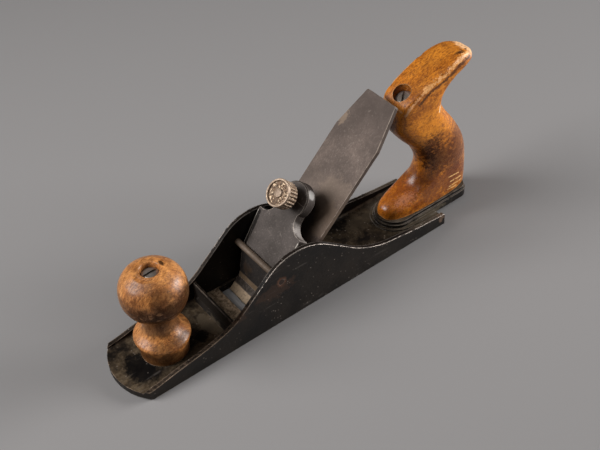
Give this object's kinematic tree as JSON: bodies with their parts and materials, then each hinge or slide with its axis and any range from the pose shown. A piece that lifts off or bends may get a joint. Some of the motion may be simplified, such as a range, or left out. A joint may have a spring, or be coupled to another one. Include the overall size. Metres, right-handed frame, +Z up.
{
  "type": "scrub plane",
  "caption": "Scrub plane: narrow cast body with humped cheeks, ball-shaped front knob, open horned rear tote, and a thick cutter under a lever cap with a fluted thumb screw.",
  "frame": {"origin": "middle of the sole's length, on the sole", "axes": "+X from toe to heel, +Z up from the sole, +Y to the plane's right when pushed towards the toe, seen from behind"},
  "size_m": [0.2782, 0.0486, 0.1194],
  "materials": {
    "japanned_iron": "worn black japanning over cast iron, bare on the arrises",
    "rod_steel": "browned steel",
    "cutter_steel": "aged grey-brown tool steel",
    "cap_iron": "ground face over dark sides",
    "screw_metal": "worn plated brass",
    "knob_wood": "worn varnished beech",
    "nut_steel": "dull steel with dark slot",
    "tote_wood": "worn varnished beech, chipped along the upper edge"
  },
  "bodies": {
    "plane_body": {"sole_casting": "japanned_iron", "cap_rod": "rod_steel", "front_knob": "knob_wood", "knob_stud": "rod_steel", "knob_nut": "nut_steel", "rear_tote": "tote_wood", "tote_rod": "rod_steel", "tote_nut": "nut_steel"},
    "cutter": {"cutter": "cutter_steel"},
    "lever_cap": {"lever_cap": "cap_iron"},
    "cap_screw_shank": {"cap_screw_shank": "screw_metal"},
    "cap_screw_head": {"cap_screw_head": "screw_metal"}
  },
  "joints": [
    {"name": "cutter_slide", "type": "slide", "parent": "plane_body", "child": "cutter", "axis": [-0.712, 0, -0.7022], "range_m": [-0.04, 0.002]},
    {"name": "lever_cap_tilt", "type": "hinge", "parent": "plane_body", "child": "lever_cap", "pos_m": [-0.01503, 0, 0.03442], "axis": [0, 1, 0], "range_deg": [0, 4.9]},
    {"name": "cap_screw_feed", "type": "slide", "parent": "lever_cap", "child": "cap_screw_shank", "axis": [-0.7022, 0, 0.712], "range_m": [0, 0.0038]},
    {"name": "cap_screw_turn", "type": "hinge", "parent": "cap_screw_shank", "child": "cap_screw_head", "pos_m": [0.01391, 0, 0.06774], "axis": [-0.7022, 0, 0.712], "range_deg": [0, 1080]}
  ],
  "couplings": [
    {"joint": "cap_screw_turn", "follows": "cap_screw_feed", "rad_per_m": 4947.4},
    {"joint": "lever_cap_tilt", "follows": "cap_screw_feed", "rad_per_m": 21.591}
  ]
}
